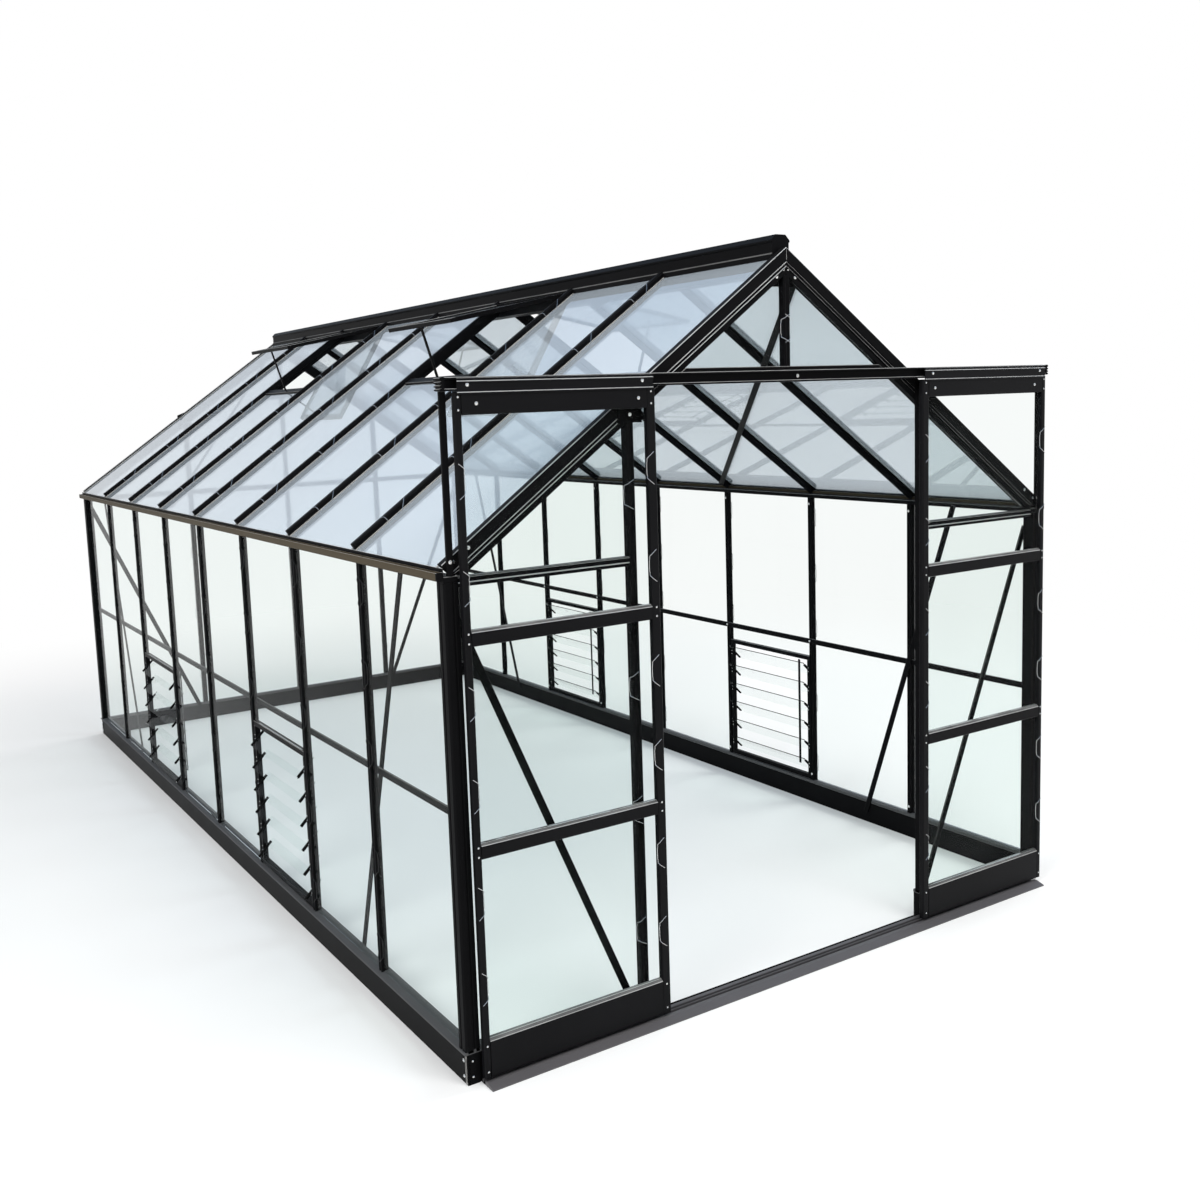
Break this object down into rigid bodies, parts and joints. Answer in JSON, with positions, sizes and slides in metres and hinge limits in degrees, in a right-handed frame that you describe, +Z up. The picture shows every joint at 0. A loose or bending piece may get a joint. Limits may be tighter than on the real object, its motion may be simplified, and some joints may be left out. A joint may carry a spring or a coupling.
{
  "type": "gabled sunroom greenhouse",
  "caption": "Gabled sunroom of slim black bars and clear sheet on a low plinth, with sliding doors in front, opened roof vents and louvre windows.",
  "frame": {"origin": "middle of the footprint at ground level, under the plinth", "axes": "+Z up, +Y from the door end to the back, +X to the right seen from the front"},
  "size_m": [2.65, 5.076, 2.5107],
  "materials": {
    "frame_black": "satin black powder coat on aluminium",
    "sill_grey": "dark grey anodised sill strip",
    "threshold_grey": "worn dark grey extrusion",
    "clear_sheet": "clear flat sheet, glossy",
    "wheel_nylon": "grey nylon"
  },
  "bodies": {
    "room": {"side_base_rails": "frame_black", "end_base_rails": "frame_black", "corner_posts": "frame_black", "wall_bars": "frame_black", "wall_mid_rails": "frame_black", "wall_braces": "frame_black", "eave_beams": "frame_black", "gutters": "frame_black", "ridge_beam": "frame_black", "roof_bars": "frame_black", "gable_rafters": "frame_black", "door_jambs": "frame_black", "tie_bar": "frame_black", "king_post": "frame_black", "back_mullions": "frame_black", "gable_eave_rails": "frame_black", "gable_braces": "frame_black", "gusset_plates": "frame_black", "roof_braces": "frame_black", "door_track": "frame_black", "track_lips": "frame_black", "track_struts": "frame_black", "louvre_rails": "frame_black", "louvre_holders": "frame_black", "vent_side_rails": "frame_black", "vent_cross_rails": "frame_black", "vent_sills": "frame_black", "vent_stays": "frame_black", "side_sills": "sill_grey", "end_sills": "sill_grey", "threshold": "threshold_grey", "wall_panes": "clear_sheet", "roof_panes": "clear_sheet", "front_gable_panes": "clear_sheet", "back_gable_panes": "clear_sheet", "louvre_blades": "clear_sheet", "vent_panes": "clear_sheet"},
    "left_door": {"left_door_stiles": "frame_black", "left_door_rails": "frame_black", "left_door_panes": "clear_sheet", "left_door_hanger": "frame_black", "left_door_wheels": "wheel_nylon"},
    "right_door": {"right_door_stiles": "frame_black", "right_door_rails": "frame_black", "right_door_panes": "clear_sheet", "right_door_hanger": "frame_black", "right_door_wheels": "wheel_nylon"}
  },
  "joints": [
    {"name": "left_door_slide", "type": "slide", "parent": "room", "child": "left_door", "axis": [1, 0, 0], "range_m": [0, 0.576]},
    {"name": "right_door_slide", "type": "slide", "parent": "room", "child": "right_door", "axis": [-1, 0, 0], "range_m": [0, 0.596]}
  ]
}
